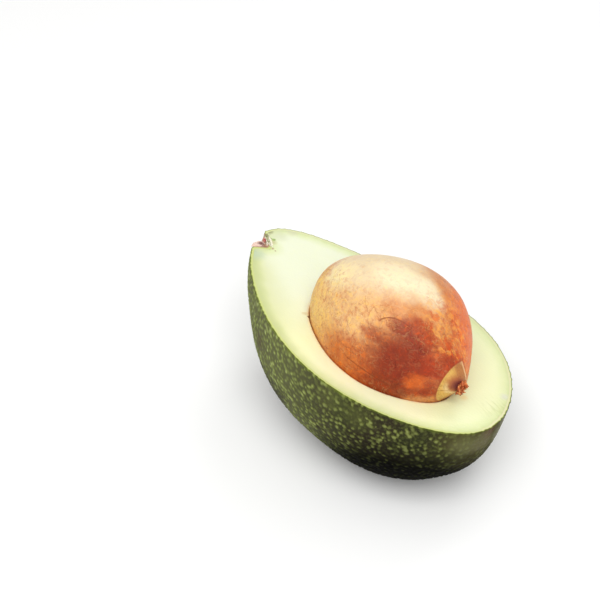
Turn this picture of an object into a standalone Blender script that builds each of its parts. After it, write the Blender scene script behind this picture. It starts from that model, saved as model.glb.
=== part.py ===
"""Half of an avocado with its seed, lying on its rounded back and leaning a little to one side.

The fruit was halved along its length. The peel is a thin cup covered with pebbled relief, the flesh
fills it up to the cut, the seed sits in the flesh and stands above the cut, and a scrap of the stalk
is left in the notch at the narrow end. Lengths are in metres.

Each piece is shaped in the fruit's own axes: x runs from the stem end to the blossom end, the cut is
the plane z = 0, and the half lies below it. The resting_half empty then lays the pieces on the
surface, with the world's origin in the middle of the flat spot that the fruit rests on.
"""

from math import pi, radians, tan

import bmesh
import bpy
from mathutils import Euler, Matrix, Vector, noise

# The fruit's outline and depth, measured to the outside of the flesh
HALF_LENGTH = 0.0500
HALF_WIDTH = 0.0311
GIRTH_TERMS = (1.0, 0.24, -0.18, -0.11)  # pear form, as powers of the place along the length
BEND_EVEN = 0.0005  # how far the middle line bows to the side
BEND_SKEW = 0.0028  # and how much more of that is near the blossom end
DEPTH_SHARE = 1.14  # depth below the cut, as a share of the half width
DEPTH_AT_ENDS = 0.29  # what the two ends have on top of that

# The peel
PEEL_OUTSIDE = 0.0009  # outside the flesh's outline
JOIN_GAP = 0.0003  # between any two pieces
PEBBLE_SPACING = 0.0050
PEBBLE_HEIGHT = 0.0010
PEBBLE_REACH = 0.72  # how far a pebble's foot spreads, as a share of the spacing
PEBBLE_SINK = 0.45  # how much of its height lies below the peel's mean surface

# The seed
SEED_CENTRE = Vector((0.0112, -0.0028, 0.0058))
SEED_HALF_SIZE = Vector((0.0289, 0.0215, 0.0226))
SEED_GIRTH_TERMS = (1.0, 0.04, -0.32, -0.30)  # blunt at the stem end, narrow at the blossom end
SEED_FAR_SIDE = 0.25  # the far side is this much fuller, and the near one flatter
SEED_BEND = -0.0035
SEED_TURN = Euler((0.0, -0.07, 0.06))

# The notch that the stalk grew from, and the flake of stalk left on its near wall
NOTCH_BOTTOM = Vector((-0.0433, -0.0067, 0.0))
NOTCH_OUTWARD = Vector((-0.940, -0.341, 0.0))
NOTCH_DEPTH = 0.0090  # from its bottom to well outside the peel
NOTCH_BOTTOM_RADIUS = 0.0007
NOTCH_MOUTH_RADIUS = 0.0092
NOTCH_WALL_SHIFT = 0.00045
STUB_MIDDLE = Vector((-0.0449, -0.0080, 0.0))
STUB_HALF_SIZE = Vector((0.0026, 0.0014, 0.0024))  # along the wall, out from it, down from the cut
STUB_WALL_ANGLE = radians(65)  # from the fruit's length
STUB_RAGGED = 0.30  # how far its outside strays, as a share of its size
STUB_LUMPS = 2.5  # how many times it strays over half its size

# How the half lies
BLOSSOM_END_DOWN = radians(3.5)
FAR_SIDE_DOWN = radians(13.5)
FLAT_SPOT_DEPTH = 0.0017  # how much of the round back the flat spot takes away

# How finely each surface is divided, in steps for a quarter turn
PEEL_STEPS = 36
INNER_STEPS = 16
SEED_STEPS = 12
STUB_STEPS = 4
LOWEST_POINT_STEPS = 96
NOTCH_SIDES = 28

LYING = Euler((-FAR_SIDE_DOWN, BLOSSOM_END_DOWN, 0.0)).to_matrix()
FRUIT_UP = LYING.transposed() @ Vector((0, 0, 1))


def clear_scene():
    for obj in list(bpy.data.objects):
        bpy.data.objects.remove(obj, do_unlink=True)
    for collection in list(bpy.data.collections):
        bpy.data.collections.remove(collection)


def new_collection(name):
    collection = bpy.data.collections.new(name)
    bpy.context.scene.collection.children.link(collection)
    return collection


def finish_material(name, colour, roughness):
    material = bpy.data.materials.new(name)
    material.use_nodes = True
    shader = material.node_tree.nodes["Principled BSDF"]
    shader.inputs["Base Color"].default_value = (*colour, 1.0)
    shader.inputs["Roughness"].default_value = roughness
    shader.inputs["Metallic"].default_value = 0.0
    return material


def new_object(name, bm, collection, material=None):
    """The shaped mesh as an object of its own."""
    mesh = bpy.data.meshes.new(name)
    bm.to_mesh(mesh)
    bm.free()
    mesh.shade_smooth()
    mesh.set_sharp_from_angle(angle=radians(40))
    if material:
        mesh.materials.append(material)
    obj = bpy.data.objects.new(name, mesh)
    collection.objects.link(obj)
    return obj


def new_cutter(name, bm):
    obj = new_object(name, bm, cutters)
    obj.hide_render = True
    obj.display_type = "WIRE"
    return obj


def boolean(obj, cutter, operation):
    modifier = obj.modifiers.new(f"{operation.lower()} {cutter.name}", "BOOLEAN")
    modifier.operation = operation
    modifier.object = cutter


def ball(steps):
    """A unit ball of even quads, from a divided cube. With an even number of steps, a row lies on z = 0."""
    bm = bmesh.new()
    bmesh.ops.create_cube(bm, size=2.0)
    bmesh.ops.subdivide_edges(bm, edges=bm.edges[:], cuts=steps - 1, use_grid_fill=True)
    for vert in bm.verts:
        vert.co = Vector([tan(share * pi / 4) for share in vert.co]).normalized()
    return bm


def cut_through(bm):
    """Takes away all that is above the cut, and leaves an open rim."""
    everything = bm.verts[:] + bm.edges[:] + bm.faces[:]
    bmesh.ops.bisect_plane(
        bm, geom=everything, dist=1e-6, plane_co=(0, 0, 0), plane_no=(0, 0, 1), clear_outer=True
    )


def rim(bm):
    return [edge for edge in bm.edges if edge.is_boundary]


def girth(terms, along):
    return sum(term * along**power for power, term in enumerate(terms))


def fruit_point(direction):
    """Where the outside of the flesh lies in this direction from the fruit's middle."""
    along, across, up = direction
    radius = HALF_WIDTH * girth(GIRTH_TERMS, along)
    bend = (BEND_EVEN + BEND_SKEW * along) * (1 - along**2)
    depth = DEPTH_SHARE + DEPTH_AT_ENDS * along**2
    return Vector((HALF_LENGTH * along, radius * across + bend, depth * radius * up))


def pebble(point):
    """The height of the peel's relief: a round pebble over each scattered point, with grooves between."""
    from_middle = noise.voronoi(point / PEBBLE_SPACING)[0][0] / PEBBLE_REACH
    return PEBBLE_HEIGHT * (max(1 - from_middle**2, 0.0) - PEBBLE_SINK)


def lowest_point():
    """The point of the flesh's outline that comes to lie lowest."""
    bm = ball(LOWEST_POINT_STEPS)
    points = [fruit_point(vert.co) for vert in bm.verts if vert.co.z <= 0]
    bm.free()
    return min(points, key=lambda point: point.dot(FRUIT_UP))


# Where the half rests: how far up the flat spot lies, and its middle
LOWEST = lowest_point()
GROUND = LOWEST.dot(FRUIT_UP) - PEEL_OUTSIDE + FLAT_SPOT_DEPTH
FLAT_SPOT = LOWEST + FRUIT_UP * (GROUND - LOWEST.dot(FRUIT_UP))


def layer(steps, outside, relief=False):
    """The open cup that lies this far outside the flesh's outline, flattened where the half rests."""
    bm = ball(steps)
    for vert in bm.verts:
        vert.co = fruit_point(vert.co)
    bm.normal_update()
    floor = GROUND + PEEL_OUTSIDE - outside
    moved = {}
    for vert in bm.verts:
        height = outside + (pebble(vert.co) if relief else 0.0)
        point = vert.co + vert.normal * height
        point += FRUIT_UP * max(floor - point.dot(FRUIT_UP), 0.0)
        moved[vert] = point
    for vert, point in moved.items():
        vert.co = point
    cut_through(bm)
    return bm


def peel_mesh():
    """Two cups, one inside the other, joined along the cut."""
    outer = layer(PEEL_STEPS, PEEL_OUTSIDE, relief=True)
    inner = layer(INNER_STEPS, JOIN_GAP / 2)
    bmesh.ops.reverse_faces(inner, faces=inner.faces[:])
    held = bpy.data.meshes.new("inner_cup")
    inner.to_mesh(held)
    inner.free()
    outer.from_mesh(held)
    bpy.data.meshes.remove(held)
    bmesh.ops.bridge_loops(outer, edges=rim(outer))
    return outer


def flesh_mesh():
    bm = layer(INNER_STEPS, -JOIN_GAP / 2)
    bmesh.ops.edgeloop_fill(bm, edges=rim(bm))
    return bm


def seed_mesh(outside=0.0):
    bm = ball(SEED_STEPS)
    for vert in bm.verts:
        along, across, up = vert.co
        share = girth(SEED_GIRTH_TERMS, along)
        side = share * across * (1 + SEED_FAR_SIDE * across)
        vert.co = Vector((along, side, share * up)) * SEED_HALF_SIZE
        vert.co.y += SEED_BEND * (1 - along**2)
    bm.normal_update()
    moved = {vert: vert.co + vert.normal * outside for vert in bm.verts}
    for vert, point in moved.items():
        vert.co = point
    bm.transform(Matrix.Translation(SEED_CENTRE) @ SEED_TURN.to_matrix().to_4x4())
    return bm


def notch_mesh(shift=0.0):
    """The cone that the notch leaves. A shift outward draws it in from the notch's wall."""
    bm = bmesh.new()
    bmesh.ops.create_cone(
        bm,
        cap_ends=True,
        segments=NOTCH_SIDES,
        radius1=NOTCH_BOTTOM_RADIUS,
        radius2=NOTCH_MOUTH_RADIUS,
        depth=NOTCH_DEPTH,
    )
    turn = Vector((0, 0, 1)).rotation_difference(NOTCH_OUTWARD).to_matrix().to_4x4()
    middle = NOTCH_BOTTOM + NOTCH_OUTWARD * (NOTCH_DEPTH / 2 + shift)
    bm.transform(Matrix.Translation(middle) @ turn)
    return bm


def stub_mesh():
    """A ragged flake, later cut to the notch's wall and to the plane of the cut."""
    bm = ball(STUB_STEPS)
    for vert in bm.verts:
        ragged = 1 + STUB_RAGGED * noise.noise(vert.co * STUB_LUMPS)
        vert.co = vert.co * STUB_HALF_SIZE * ragged
    bm.transform(Matrix.Translation(STUB_MIDDLE) @ Matrix.Rotation(STUB_WALL_ANGLE, 4, "Z"))
    cut_through(bm)
    bmesh.ops.edgeloop_fill(bm, edges=rim(bm))
    return bm


clear_scene()
pieces = new_collection("avocado_half")
cutters = new_collection("cutters")

notch = new_cutter("stem_notch", notch_mesh())
stub_room = new_cutter("stub_room", notch_mesh(NOTCH_WALL_SHIFT))
seed_hollow = new_cutter("seed_hollow", seed_mesh(JOIN_GAP))

peel_finish = finish_material("peel", colour=(0.050, 0.068, 0.022), roughness=0.45)
skin = new_object("skin", peel_mesh(), pieces, peel_finish)
boolean(skin, notch, "DIFFERENCE")

flesh_finish = finish_material("flesh", colour=(0.86, 0.86, 0.52), roughness=0.35)
flesh = new_object("flesh", flesh_mesh(), pieces, flesh_finish)
boolean(flesh, seed_hollow, "DIFFERENCE")
boolean(flesh, notch, "DIFFERENCE")

seed_finish = finish_material("seed_coat", colour=(0.42, 0.13, 0.035), roughness=0.4)
seed = new_object("seed", seed_mesh(), pieces, seed_finish)

stub_finish = finish_material("dried_stalk", colour=(0.30, 0.16, 0.10), roughness=0.85)
stub = new_object("stem_stub", stub_mesh(), pieces, stub_finish)
boolean(stub, stub_room, "INTERSECT")

# The empty that lays every piece and every cutter on the flat spot
resting_half = bpy.data.objects.new("resting_half", None)
resting_half.matrix_world = LYING.to_4x4() @ Matrix.Translation(-FLAT_SPOT)
for obj in (*pieces.objects, *cutters.objects):
    obj.parent = resting_half
pieces.objects.link(resting_half)
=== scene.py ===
"""Half of an avocado with its seed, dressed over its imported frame.

Each piece is shaped in the fruit's own axes, in metres: x runs from the stem end to the blossom end,
the cut is the plane z = 0, and the half lies below it. LAID then lays it on the floor.
"""
import random
from math import atan2, cos, hypot, pi, radians, sin, sqrt, tan

import bmesh
import bpy
from mathutils import Euler, Matrix, Vector, noise
from mathutils.bvhtree import BVHTree
from mathutils.kdtree import KDTree


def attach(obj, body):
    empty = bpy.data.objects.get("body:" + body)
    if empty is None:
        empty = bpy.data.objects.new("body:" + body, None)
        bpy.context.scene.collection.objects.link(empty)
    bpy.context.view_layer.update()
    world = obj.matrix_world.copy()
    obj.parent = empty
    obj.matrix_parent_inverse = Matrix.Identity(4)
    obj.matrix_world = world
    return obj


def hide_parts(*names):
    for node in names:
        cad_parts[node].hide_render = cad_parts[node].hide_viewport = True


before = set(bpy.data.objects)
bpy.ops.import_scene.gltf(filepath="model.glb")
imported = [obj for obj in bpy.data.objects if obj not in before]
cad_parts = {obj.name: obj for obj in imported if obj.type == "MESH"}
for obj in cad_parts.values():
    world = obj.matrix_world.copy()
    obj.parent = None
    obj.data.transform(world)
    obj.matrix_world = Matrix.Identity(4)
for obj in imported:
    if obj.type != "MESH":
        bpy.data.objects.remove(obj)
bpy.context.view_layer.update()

# The camera looks down on the half from beside its blossom end, with a long lens, so that the cut is
# seen at a slant and the near side of the peel shows under it.
EYE = (0.2755, -0.2328, 0.3587)
EYE_TURN = (radians(49.83), 0.0, radians(54.13))
EYE_LENS = 100.8
EYE_SENSOR = 36.0
EYE_SEES_FROM = 0.01

lens = bpy.data.cameras.new("eye")
lens.lens = EYE_LENS
lens.sensor_width = EYE_SENSOR
lens.clip_start = EYE_SEES_FROM
eye = bpy.data.objects.new("eye", lens)
eye.location = EYE
eye.rotation_euler = EYE_TURN
bpy.context.scene.collection.objects.link(eye)
bpy.context.scene.camera = eye

# The peel is a thin leathery cup that the knife went through. Small ragged warts cover its outside, paler
# and greener than the ground between them. It curls down into the notch that the stalk grew from.
MILLIMETRES = 1000
HALF_LENGTH = 0.0500
HALF_WIDTH = 0.0311
GIRTH_TERMS = (1.0, 0.24, -0.18, -0.11)
BEND_EVEN = 0.0005
BEND_SKEW = 0.0028
DEPTH_SHARE = 1.14
DEPTH_AT_ENDS = 0.29
LYING = Euler((radians(-13.5), radians(3.5), 0.0)).to_matrix()
FRUIT_UP = LYING.transposed() @ Vector((0, 0, 1))
FLAT_SPOT = Vector((0.014979, 0.007127, -0.034945))
LAID = LYING.to_4x4() @ Matrix.Translation(-FLAT_SPOT)
SHARP_EDGE = radians(50)
ON_THE_CUT = 1e-6

PEEL_OUTSIDE = 0.0009
PEEL_INSIDE = 0.00001
PEEL_STEPS = 162
PEEL_INNER_STEPS = 60
SPARE_RIM = 0.06
FLAT_SPOT_ROUND = 0.0003
PEEL_SWELLS = (
    (Vector((-0.20, -0.76, -0.62)), 0.55, 0.0014),
    (Vector((0.90, 0.22, -0.38)), 0.40, 0.0009),
)

WART_SPACING = 0.00158
WART_SPACING_AT_STEM = 0.00130
WART_CROWDING = (0.65, 1.20)
WART_RADIUS = (0.34, 0.64)
WART_RAGGED = 0.90
WART_RAGGED_SIZE = 0.0011
WART_HEIGHT = 0.00022
WART_SINK = 0.35
WART_THROWS = 60000
WART_DRAW = 11
CROWDED_FROM = 0.3

NOTCH_BOTTOM = Vector((-0.0433, -0.0067, 0.0))
NOTCH_OUTWARD = Vector((-0.940, -0.341, 0.0))
NOTCH_BOTTOM_RADIUS = 0.0007
NOTCH_SLOPE = 1.059
NOTCH_LIP = 0.0012
NOTCH_LINING_SHARE = 1.4
EDGE_STRAY = 0.00028
EDGE_STRAY_SIZE = 0.0035
EDGE_RAGGED = 0.0006
EDGE_RAGGED_SIZE = 0.0016
EDGE_RAGGED_FROM = 0.875
EDGE_RAGGED_RISE = 8


def ball(steps):
    """A unit ball of even quads, from a cube divided and pushed out."""
    bm = bmesh.new()
    bmesh.ops.create_cube(bm, size=2.0)
    bmesh.ops.subdivide_edges(bm, edges=bm.edges[:], cuts=steps - 1, use_grid_fill=True)
    for vert in bm.verts:
        vert.co = Vector([tan(share * pi / 4) for share in vert.co]).normalized()
    return bm


def cut_at(bm, height):
    """Takes away all that is above this height, and leaves an open rim."""
    everything = bm.verts[:] + bm.edges[:] + bm.faces[:]
    bmesh.ops.bisect_plane(
        bm, geom=everything, dist=ON_THE_CUT, plane_co=(0, 0, height), plane_no=(0, 0, 1),
        clear_outer=True,
    )


def girth(terms, along):
    """The share of the full width at this place along, from the terms of a power series."""
    return sum(term * along**power for power, term in enumerate(terms))


def fruit_point(direction):
    """Where the outside of the flesh lies in this direction from the fruit's middle."""
    along, across, up = direction
    radius = HALF_WIDTH * girth(GIRTH_TERMS, along)
    bend = (BEND_EVEN + BEND_SKEW * along) * (1 - along**2)
    depth = DEPTH_SHARE + DEPTH_AT_ENDS * along**2
    return Vector((HALF_LENGTH * along, radius * across + bend, depth * radius * up))


def scattered_warts():
    """Warts thrown at random over the outside, none closer to another than the spacing there."""
    draw = random.Random(WART_DRAW)
    warts = []
    taken = {}
    for _ in range(WART_THROWS):
        direction = Vector((draw.gauss(0, 1), draw.gauss(0, 1), -abs(draw.gauss(0, 1)))).normalized()
        point = fruit_point(direction)
        to_stem = min(max(CROWDED_FROM - point.x / HALF_LENGTH, 0.0), 1.0)
        spacing = WART_SPACING + (WART_SPACING_AT_STEM - WART_SPACING) * to_stem
        gap = spacing * draw.uniform(*WART_CROWDING)
        cell = [int(part // (WART_SPACING * WART_CROWDING[1])) for part in point]
        around = [
            wart
            for x in range(cell[0] - 1, cell[0] + 2)
            for y in range(cell[1] - 1, cell[1] + 2)
            for z in range(cell[2] - 1, cell[2] + 2)
            for wart in taken.get((x, y, z), ())
        ]
        if all((point - other[0]).length > gap for other in around):
            wart = (point, spacing * draw.uniform(*WART_RADIUS), draw.random())
            warts.append(wart)
            taken.setdefault(tuple(cell), []).append(wart)
    return warts


warts = scattered_warts()
wart_middles = KDTree(len(warts))
for index, wart in enumerate(warts):
    wart_middles.insert(wart[0], index)
wart_middles.balance()


def wart_at(point):
    """How much of a wart stands here, from 0 beside it to 1 on its top, and how pale it is."""
    _, index, distance = wart_middles.find(point)
    ragged = 1 + WART_RAGGED * noise.noise(point / WART_RAGGED_SIZE)
    return max(1 - (distance * ragged / warts[index][1]) ** 2, 0.0), warts[index][2]


def lower_of(first, second, blend):
    """The lower of two lengths, going over smoothly from one to the other where they are close."""
    near = max(blend - abs(first - second), 0.0) / blend
    return min(first, second) - near**2 * blend / 4


def curl_into_notch(point, lining):
    """The point drawn in to the notch's wall, behind what lines it, and how far it was drawn."""
    offset = point - NOTCH_BOTTOM
    out = offset.dot(NOTCH_OUTWARD)
    aside = (offset - NOTCH_OUTWARD * out).length
    wall = max(aside - NOTCH_BOTTOM_RADIUS, 0.0) * NOTCH_SLOPE - lining
    drawn = out - lower_of(out, wall, NOTCH_LIP)
    return point - NOTCH_OUTWARD * drawn, drawn


def stray_at(point):
    """How far the line between peel and flesh strays here from its even course."""
    stray = EDGE_STRAY * min(noise.noise(point / EDGE_STRAY_SIZE), 0.0)
    past = point.x / HALF_LENGTH - EDGE_RAGGED_FROM
    at_blossom_end = min(max(past * EDGE_RAGGED_RISE, 0.0), 1.0)
    return stray + at_blossom_end * EDGE_RAGGED * min(noise.noise(point / EDGE_RAGGED_SIZE), 0.0)


def swell_at(direction):
    """How much thicker than elsewhere the peel is in this direction."""
    swell = 0.0
    for middle, reach, thickness in PEEL_SWELLS:
        nearness = max(1 - ((direction - middle).length / reach) ** 2, 0.0)
        swell += nearness**2 * thickness
    return swell


def half_cup(steps, outside, warty):
    """The open cup that lies this far outside the flesh, with its warts, its notch and its flat spot."""
    bm = ball(steps)
    cut_at(bm, SPARE_RIM)
    own_place = bm.verts.layers.float_vector.new("own_place")
    wart = bm.verts.layers.float.new("wart")
    tone = bm.verts.layers.float.new("tone")
    dent = bm.verts.layers.float.new("dent")
    swell = bm.verts.layers.float.new("swell")
    for vert in bm.verts:
        vert[swell] = swell_at(vert.co) if warty else 0.0
        vert.co = fruit_point(vert.co)
    bm.normal_update()
    floor = FLAT_SPOT.dot(FRUIT_UP) + PEEL_OUTSIDE - outside
    lining = (PEEL_OUTSIDE - outside) * NOTCH_LINING_SHARE
    moved = []
    for vert in bm.verts:
        vert[own_place] = vert.co * MILLIMETRES
        vert[wart], vert[tone] = wart_at(vert.co) if warty else (0.0, 0.0)
        height = outside + (WART_HEIGHT * (vert[wart] - WART_SINK) if warty else stray_at(vert.co))
        height += vert[swell]
        point, drawn = curl_into_notch(vert.co + vert.normal * height, lining)
        vert[dent] = drawn * MILLIMETRES
        rise = -lower_of(point.dot(FRUIT_UP) - floor, 0.0, FLAT_SPOT_ROUND)
        moved.append((vert, point + FRUIT_UP * rise))
    for vert, point in moved:
        vert.co = point
    cut_at(bm, 0.0)
    return bm


def take_in(bm, other):
    """Adds the other mesh's faces to this one."""
    held = bpy.data.meshes.new("held")
    other.to_mesh(held)
    other.free()
    bm.from_mesh(held)
    bpy.data.meshes.remove(held)


def new_piece(name, bm, finish, node=None):
    """The finished mesh, laid in its place. It stands for a node of the frame, if it is given one."""
    bm.transform(LAID)
    for edge in bm.edges:
        edge.smooth = edge.calc_face_angle(0.0) < SHARP_EDGE
    mesh = bpy.data.meshes.new(name)
    bm.to_mesh(mesh)
    bm.free()
    mesh.shade_smooth()
    mesh.materials.append(finish.material)
    piece = bpy.data.objects.new(name, mesh)
    bpy.context.scene.collection.objects.link(piece)
    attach(piece, "root")
    if node:
        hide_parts(node)


SCREEN_GAMMA = 2.2


def paint(red, green, blue):
    """A colour as it shows on a screen, in parts from 0 to 255, as a shader takes it."""
    return tuple((part / 255) ** SCREEN_GAMMA for part in (red, green, blue)) + (1.0,)


class Finish:
    """A finish put together from patterns that lie in the piece's own axes, in millimetres."""

    def __init__(self, name, **constants):
        self.material = bpy.data.materials.new(name)
        self.material.use_nodes = True
        self.tree = self.material.node_tree
        self.shader = self.tree.nodes["Principled BSDF"]
        for socket, value in constants.items():
            self.shader.inputs[socket.replace("_", " ")].default_value = value

    def put(self, value, socket):
        """Links the socket to another node's output, or else sets it to the value."""
        if isinstance(value, bpy.types.NodeSocket):
            self.tree.links.new(value, socket)
        else:
            socket.default_value = value

    def attribute(self, name, output="Fac"):
        node = self.tree.nodes.new("ShaderNodeAttribute")
        node.attribute_name = name
        return node.outputs[output]

    def part(self, vector, axis):
        node = self.tree.nodes.new("ShaderNodeSeparateXYZ")
        self.put(vector, node.inputs[0])
        return node.outputs[axis]

    def height(self):
        """How high above the floor a point is, in millimetres."""
        node = self.tree.nodes.new("ShaderNodeTexCoord")
        return self.times(self.part(node.outputs["Object"], "Z"), MILLIMETRES)

    def times(self, first, second):
        return self.math("MULTIPLY", first, second)

    def plus(self, first, second):
        return self.math("ADD", first, second)

    def minus(self, first, second):
        return self.math("SUBTRACT", first, second)

    def math(self, operation, *values):
        node = self.tree.nodes.new("ShaderNodeMath")
        node.operation = operation
        for value, socket in zip(values, node.inputs):
            self.put(value, socket)
        return node.outputs[0]

    def ramp(self, value, low, high, start=0.0, end=1.0):
        """Goes smoothly from start, where the value is low, to end, where it is high."""
        node = self.tree.nodes.new("ShaderNodeMapRange")
        node.interpolation_type = "SMOOTHSTEP"
        for given, socket in zip((value, low, high, start, end), node.inputs):
            self.put(given, socket)
        return node.outputs[0]

    def blend(self, share, first, second, how="MIX"):
        """The first colour where the share is 0, and the second where it is 1."""
        node = self.tree.nodes.new("ShaderNodeMix")
        node.data_type = "RGBA"
        node.blend_type = how
        colours = [socket for socket in node.inputs if socket.type == "RGBA"]
        for value, socket in zip((share, first, second), (node.inputs[0], *colours)):
            self.put(value, socket)
        return next(socket for socket in node.outputs if socket.type == "RGBA")

    def clouds(self, place, size, detail=2.0, rough=0.5):
        """Soft random clouds of about this size, from 0 to 1."""
        node = self.tree.nodes.new("ShaderNodeTexNoise")
        node.inputs["Scale"].default_value = 1 / size
        node.inputs["Detail"].default_value = detail
        node.inputs["Roughness"].default_value = rough
        self.put(place, node.inputs["Vector"])
        return node.outputs["Fac"]

    def strayed(self, place, size, reach):
        """The place moved about by clouds of this size, by up to this reach."""
        wander = self.tree.nodes.new("ShaderNodeTexNoise")
        wander.inputs["Scale"].default_value = 1 / size
        self.put(place, wander.inputs["Vector"])
        middle = self.tree.nodes.new("ShaderNodeVectorMath")
        middle.operation = "SUBTRACT"
        self.put(wander.outputs["Color"], middle.inputs[0])
        middle.inputs[1].default_value = (0.5, 0.5, 0.5)
        scaled = self.tree.nodes.new("ShaderNodeVectorMath")
        scaled.operation = "SCALE"
        self.put(middle.outputs[0], scaled.inputs[0])
        scaled.inputs["Scale"].default_value = 2 * reach
        added = self.tree.nodes.new("ShaderNodeVectorMath")
        added.operation = "ADD"
        self.put(place, added.inputs[0])
        self.put(scaled.outputs[0], added.inputs[1])
        return added.outputs[0]

    def distance(self, place, middle):
        node = self.tree.nodes.new("ShaderNodeVectorMath")
        node.operation = "DISTANCE"
        self.put(place, node.inputs[0])
        node.inputs[1].default_value = middle
        return node.outputs["Value"]

    def patches(self, colour, place, rows):
        """Lays patches of other colours over this one. A row holds a patch's middle, how far out the patch
        is full, where it ends, its strength and its colour."""
        for middle, full, end, most, tone in rows:
            share = self.ramp(self.distance(place, middle), full, end, most, 0.0)
            colour = self.blend(share, colour, tone)
        return colour

    def bump(self, height, depth):
        """Raises the surface by the height's pattern. The depth is in metres."""
        node = self.tree.nodes.new("ShaderNodeBump")
        node.inputs["Distance"].default_value = depth
        self.put(height, node.inputs["Height"])
        return node.outputs[0]


def peel_mesh():
    """The outside and the inside of the cup, joined by a rim where the knife went through."""
    outer = half_cup(PEEL_STEPS, PEEL_OUTSIDE, warty=True)
    inner = half_cup(PEEL_INNER_STEPS, PEEL_INSIDE, warty=False)
    inside = outer.verts.layers.float.new("inside")
    bmesh.ops.reverse_faces(inner, faces=inner.faces[:])
    wall = inner.verts.layers.float.new("inside")
    for vert in inner.verts:
        vert[wall] = 1.0
    take_in(outer, inner)
    bmesh.ops.bridge_loops(outer, edges=[edge for edge in outer.edges if edge.is_boundary])
    return outer


OLIVE_GROUND = paint(48, 50, 32)
BROWN_GROUND = paint(51, 46, 35)
LEFT_GROUND = paint(97, 99, 66)
GROUND_GRAIN = paint(88, 88, 58)
DULL_SPECKLE = paint(74, 78, 41)
FRESH_SPECKLE = paint(105, 111, 56)
LEFT_SPECKLE = paint(138, 150, 80)
SPECKLE_GLINT = paint(184, 194, 130)
BLOSSOM_END = paint(76, 72, 43)
LOW_LEFT_SHADE = paint(52, 49, 38)
GREEN_AT_CUT = paint(112, 126, 48)
PAINTED_SHADE_BLACK = paint(7, 5, 4)
NOTCH_CRUST = paint(140, 92, 70)
NOTCH_CRUST_PALE = paint(235, 195, 165)
CUT_GREEN = paint(150, 168, 70)
NEAR_RIM = paint(204, 212, 140)
FAR_RIM = paint(222, 224, 176)
LEFT_FADE = (31.0, -8.0)
GLINT_FADE = (20.0, -20.0)
LOW_LEFT_SHADE_DEPTH = (16.0, 24.0)
LOW_LEFT_SHADE_FADE = (6.0, -3.0)
BLOSSOM_END_FADE = (46.0, 55.0)
GREEN_DEPTH = (0.8, 1.7)
GREEN_FADE = (20.0, 42.0)
UNDERSIDE_SHADE_HEIGHT = (2.0, 18.0)
CRUST_DENT = (0.3, 1.0)
RIM_SIDES = (-8.0, 6.0)
BOTTOM_SHADE_MIDDLE = (35.0, -6.0, -34.0)
BOTTOM_SHADE_REACH = (18.5, 33.5)
PEEL_PATCHES = (
    # A brown rub low on the left, and a small dark bruise.
    ((-15.0, -26.0, -10.0), 1.0, 4.5, 0.7, paint(90, 82, 62)),
    ((16.5, -26.0, -17.5), 0.2, 1.6, 0.75, paint(38, 26, 24)),
    # Paler green towards the blossom end and under the cut.
    ((48.6, -4.0, -5.0), 1.0, 6.5, 0.40, paint(120, 122, 82)),
    ((20.0, -29.0, -3.0), 1.0, 7.0, 0.20, paint(116, 124, 66)),
    ((28.5, -26.0, -4.5), 1.0, 7.0, 0.20, paint(116, 124, 66)),
    # A brown fleck at the blossom end's cut, and a dull pale green round it.
    ((49.6, 3.0, -1.5), 0.8, 3.4, 0.8, paint(92, 66, 54)),
    ((49.5, 2.0, -5.0), 1.0, 6.0, 0.7, paint(108, 104, 76)),
    ((46.0, 11.0, -4.0), 2.0, 7.0, 0.8, paint(122, 121, 98)),
)


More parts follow.
